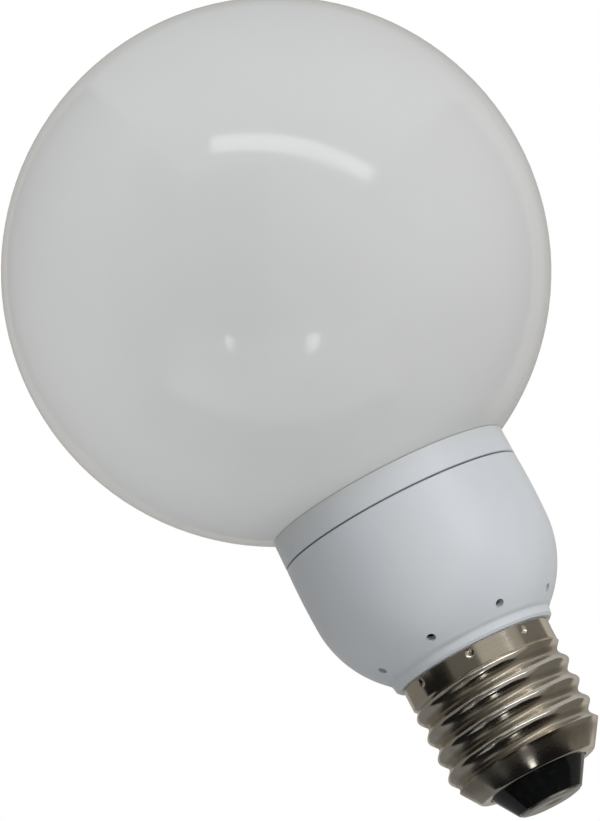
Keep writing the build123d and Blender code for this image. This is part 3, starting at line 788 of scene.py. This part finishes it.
# Grime and painted shade: the thread's valleys are painted dark brown, darkest at their roots.
grime_and_valley_shade = valley * threaded * (0.35 + nickel.cloud(240.0, detail=3.0) * 0.9)
plate = nickel.mix(draw_lines, (0.71, 0.655, 0.56), (0.79, 0.74, 0.65))
plate = nickel.mix(tarnish * 0.45, plate, (0.5, 0.42, 0.3))
plate = nickel.mix(grime_and_valley_shade * 0.5, plate, (0.2, 0.16, 0.11))
plate = nickel.mix(crest * 0.6, plate, (0.74, 0.72, 0.68))
nickel.paint(
    base_color=plate,
    roughness=0.11 + draw_lines * 0.08 + tarnish * 0.08 + grime_and_valley_shade * 0.2,
)
nickel.relief(draw_lines + nickel.cloud(800.0) * 0.6, 0.0000006)
nickel.cover("cap_shell")


# Insulator: black glass, pressed into the curled rim while soft and left with a fire-polished
# cone. It has faint swirls, tiny bubbles near the surface and a little dust.
glass = Finish("black_glass", specular_ior_level=0.5)
swirl = glass.cloud(260.0, stretch=(1, 1, 2), detail=3.0)
bubbles = glass.step(glass.cells(1500.0), 0.16, 0.08)
dust = glass.step(glass.cloud(700.0, detail=4.0), 0.52, 0.75)
black = glass.mix(swirl, (0.003, 0.0035, 0.0035), (0.007, 0.0075, 0.0075))
glass.paint(
    base_color=glass.mix(dust * 0.1, black, (0.07, 0.068, 0.06)),
    roughness=0.08 + dust * 0.12,
)
glass.relief(swirl * 1.2 - bubbles * 0.3, 0.00002)
glass.cover("cap_insulator")


# Centre contact: a nickel-plated brass disc, turned on its face, with rubbed rings and a duller
# mark where a lampholder's spring has pressed.
MARK_X, MARK_Y, MARK_RADIUS, MARK_EDGE = 0.0006, -0.0004, 0.002, 0.0006
contact = Finish("contact_plate", metallic=1.0)
rings = contact.node("TexNoise", {"noise_dimensions": "1D"}, {"W": contact.radius(), "Scale": 9000.0})
from_mark = contact.radius(MARK_X, MARK_Y) + contact.cloud(900.0) * 0.0012
worn = contact.step(from_mark, MARK_RADIUS + MARK_EDGE, MARK_RADIUS - MARK_EDGE)
turned = contact.mix(rings, (0.56, 0.55, 0.52), (0.66, 0.65, 0.62))
contact.paint(
    base_color=contact.mix(worn, turned, (0.42, 0.39, 0.33)),
    roughness=0.24 + rings * 0.14 + worn * 0.15,
)
contact.relief(rings, 0.000001)
contact.cover("centre_contact")


# Globe: soda glass blown in a mould, opal white all through, fire-polished. The wall varies a
# little, so the white is very slightly cloudy, and a film of dust dulls the gloss here and there.
PAINTED_SHADE_HEIGHT = 0.0035
opal = Finish("opal_glass", specular_ior_level=0.5)
depth = opal.cloud(28.0, detail=3.0)
haze = opal.cloud(9.0, detail=2.0)
milk = opal.mix(opal.step(depth, 0.25, 0.75), (0.55, 0.556, 0.558), (0.57, 0.576, 0.579))
milk = opal.mix(opal.step(haze, 0.35, 0.65) * 0.4, milk, (0.578, 0.574, 0.572))
# Painted shade: the white is darkened and a little greened just above the collar, where the collar shades
# the globe.
neck_painted_shade = opal.step(opal.z, collar_top_z + PAINTED_SHADE_HEIGHT, collar_top_z)
milk = opal.mix(neck_painted_shade * 0.3, milk, (0.45, 0.465, 0.45))
film_of_dust = opal.step(opal.cloud(160.0, detail=4.0), 0.45, 0.7)
opal.paint(base_color=milk, roughness=0.09 + film_of_dust * 0.05)
opal.relief(depth + opal.cloud(110.0) * 0.15, 0.00003)
opal.cover("globe")
